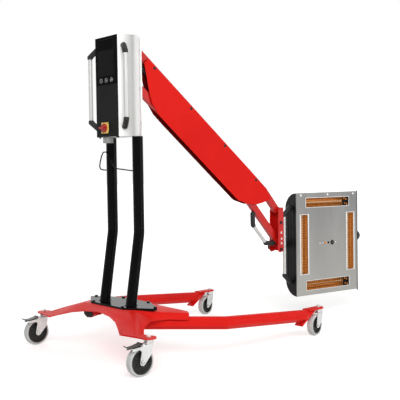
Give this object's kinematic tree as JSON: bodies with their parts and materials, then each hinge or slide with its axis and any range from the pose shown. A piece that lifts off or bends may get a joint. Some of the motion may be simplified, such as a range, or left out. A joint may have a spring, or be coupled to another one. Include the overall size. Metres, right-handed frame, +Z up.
{
  "type": "infrared paint curing lamp",
  "caption": "Infrared paint curing lamp: wheeled stand with a control box and a balanced parallel arm that carries a flat lamp head.",
  "frame": {"origin": "on the floor, under the middle of the whole lamp's bounding box", "axes": "+X from the control box along the arm towards the lamp head, +Z up, +Y to the left seen from the control box"},
  "size_m": [1.9768, 0.8998, 1.4556],
  "materials": {
    "red_paint": "semi gloss red paint",
    "black_gloss_paint": "gloss black paint",
    "black_plastic": "matte black",
    "grey_rubber": "matte grey",
    "zinc": "bright zinc plate",
    "anodised_aluminium": "satin anodised",
    "brushed_steel": "brushed",
    "dark_steel": "satin black",
    "black_glass": "glossy dark window",
    "yellow_plastic": "yellow",
    "red_plastic": "red",
    "gold_reflector": "polished gold coloured reflector",
    "lamp_quartz": "amber quartz tube"
  },
  "bodies": {
    "stand": {"base_shell": "red_paint", "leg_far": "red_paint", "leg_near": "red_paint", "column_plate": "black_gloss_paint", "pole_far": "black_gloss_paint", "pole_near": "black_gloss_paint", "box_chassis": "anodised_aluminium", "box_shell": "anodised_aluminium", "display_panel": "black_glass", "lower_panel": "black_gloss_paint", "switch_plate": "yellow_plastic", "supply_inlet": "black_plastic", "cable_hanger": "black_gloss_paint", "box_grip_far_bar": "anodised_aluminium", "box_grip_far_upper_elbow": "black_plastic", "box_grip_far_lower_elbow": "black_plastic", "box_grip_near_bar": "anodised_aluminium", "box_grip_near_upper_elbow": "black_plastic", "box_grip_near_lower_elbow": "black_plastic", "column_bracket": "black_gloss_paint", "upper_column_pin": "dark_steel", "lower_column_pin": "dark_steel"},
    "main_switch": {"switch_knob": "red_plastic"},
    "upper_arm": {"upper_link": "red_paint", "arm_cover_far": "red_paint", "arm_cover_near": "red_paint"},
    "lower_arm": {"lower_link": "red_paint", "arm_grip_bar": "anodised_aluminium", "arm_grip_upper_elbow": "black_plastic", "arm_grip_lower_elbow": "black_plastic"},
    "arm_end": {"end_bracket": "red_paint", "head_arm": "dark_steel"},
    "spring_barrel": {"spring_cylinder": "dark_steel"},
    "spring_piston": {"spring_rod": "zinc"},
    "head_swivel": {"swivel_hub": "dark_steel"},
    "head": {"rear_housing": "black_plastic", "front_panel": "brushed_steel", "reflector_pan": "gold_reflector", "lamp_top": "lamp_quartz", "lamp_bottom": "lamp_quartz", "lamp_left": "lamp_quartz", "lamp_right": "lamp_quartz", "head_grip_bar": "anodised_aluminium", "head_grip_upper_elbow": "black_plastic", "head_grip_lower_elbow": "black_plastic"},
    "clamp_knob": {"side_knob": "black_plastic"},
    "front_far_caster": {"front_far_fork": "zinc"},
    "front_far_pedal": {"front_far_brake_pedal": "dark_steel"},
    "front_far_wheel": {"front_far_hub": "black_plastic", "front_far_tyre": "grey_rubber"},
    "front_near_caster": {"front_near_fork": "zinc"},
    "front_near_pedal": {"front_near_brake_pedal": "dark_steel"},
    "front_near_wheel": {"front_near_hub": "black_plastic", "front_near_tyre": "grey_rubber"},
    "rear_far_caster": {"rear_far_fork": "zinc"},
    "rear_far_wheel": {"rear_far_hub": "black_plastic", "rear_far_tyre": "grey_rubber"},
    "rear_near_caster": {"rear_near_fork": "zinc"},
    "rear_near_wheel": {"rear_near_hub": "black_plastic", "rear_near_tyre": "grey_rubber"}
  },
  "joints": [
    {"name": "front_far_swivel", "type": "hinge", "parent": "stand", "child": "front_far_caster", "pos_m": [-0.8714, 0.417, 0.15], "axis": [0, 0, 1], "continuous": true},
    {"name": "front_near_swivel", "type": "hinge", "parent": "stand", "child": "front_near_caster", "pos_m": [-0.8714, -0.417, 0.15], "axis": [0, 0, 1], "continuous": true},
    {"name": "rear_far_swivel", "type": "hinge", "parent": "stand", "child": "rear_far_caster", "pos_m": [0.2296, 0.41, 0.13], "axis": [0, 0, 1], "continuous": true},
    {"name": "rear_near_swivel", "type": "hinge", "parent": "stand", "child": "rear_near_caster", "pos_m": [0.2296, -0.41, 0.13], "axis": [0, 0, 1], "continuous": true},
    {"name": "front_far_roll", "type": "hinge", "parent": "front_far_caster", "child": "front_far_wheel", "pos_m": [-0.9184, 0.417, 0.06211], "axis": [0, 1, 0], "continuous": true},
    {"name": "front_near_roll", "type": "hinge", "parent": "front_near_caster", "child": "front_near_wheel", "pos_m": [-0.9184, -0.417, 0.06211], "axis": [0, 1, 0], "continuous": true},
    {"name": "rear_far_roll", "type": "hinge", "parent": "rear_far_caster", "child": "rear_far_wheel", "pos_m": [0.18739, 0.4018, 0.05311], "axis": [-0.1908, 0.9816, 0], "continuous": true},
    {"name": "rear_near_roll", "type": "hinge", "parent": "rear_near_caster", "child": "rear_near_wheel", "pos_m": [0.18739, -0.4182, 0.05311], "axis": [-0.1908, 0.9816, 0], "continuous": true},
    {"name": "front_far_brake", "type": "hinge", "parent": "front_far_caster", "child": "front_far_pedal", "pos_m": [-0.9134, 0.417, 0.13581], "axis": [0, -1, 0], "range_deg": [0, 9]},
    {"name": "front_near_brake", "type": "hinge", "parent": "front_near_caster", "child": "front_near_pedal", "pos_m": [-0.9134, -0.417, 0.13581], "axis": [0, -1, 0], "range_deg": [0, 9]},
    {"name": "main_switch_turn", "type": "hinge", "parent": "stand", "child": "main_switch", "pos_m": [-0.771, 0.005, 1.04061], "axis": [1, 0, 0], "range_deg": [-90, 0]},
    {"name": "arm_lift", "type": "hinge", "parent": "stand", "child": "upper_arm", "pos_m": [-0.6104, 0, 1.41961], "axis": [0, -1, 0], "range_deg": [-5, 65]},
    {"name": "lower_arm_swing", "type": "hinge", "parent": "stand", "child": "lower_arm", "pos_m": [-0.6104, 0, 1.25061], "axis": [0, -1, 0], "range_deg": [-5, 65]},
    {"name": "arm_end_level", "type": "hinge", "parent": "upper_arm", "child": "arm_end", "pos_m": [0.3646, 0, 0.61361], "axis": [0, -1, 0], "range_deg": [-65, 5]},
    {"name": "spring_swing", "type": "hinge", "parent": "stand", "child": "spring_barrel", "pos_m": [-0.6104, 0, 1.36961], "axis": [0, -1, 0], "range_deg": [-5.1, 66.2]},
    {"name": "spring_stroke", "type": "slide", "parent": "spring_barrel", "child": "spring_piston", "axis": [0.7856, 0, -0.6187], "range_m": [-0.0042, 0.0536]},
    {"name": "head_turn", "type": "hinge", "parent": "arm_end", "child": "head_swivel", "pos_m": [0.7189, 0.0601, 0.41261], "axis": [0, 0, 1], "range_deg": [0, 188]},
    {"name": "head_tilt", "type": "hinge", "parent": "head_swivel", "child": "head", "pos_m": [0.71409, 0.02392, 0.41261], "axis": [0.9913, -0.1318, 0], "range_deg": [-40, 40]},
    {"name": "clamp_turn", "type": "hinge", "parent": "head", "child": "clamp_knob", "pos_m": [0.94052, -0.09396, 0.43761], "axis": [0.9913, -0.1318, 0], "range_deg": [0, 360]}
  ],
  "couplings": [
    {"joint": "lower_arm_swing", "follows": "arm_lift", "ratio": 1},
    {"joint": "arm_end_level", "follows": "arm_lift", "ratio": -1},
    {"joint": "spring_swing", "follows": "arm_lift", "ratio": 1.0165},
    {"joint": "spring_stroke", "follows": "arm_lift", "m_per_rad": 0.0471}
  ]
}
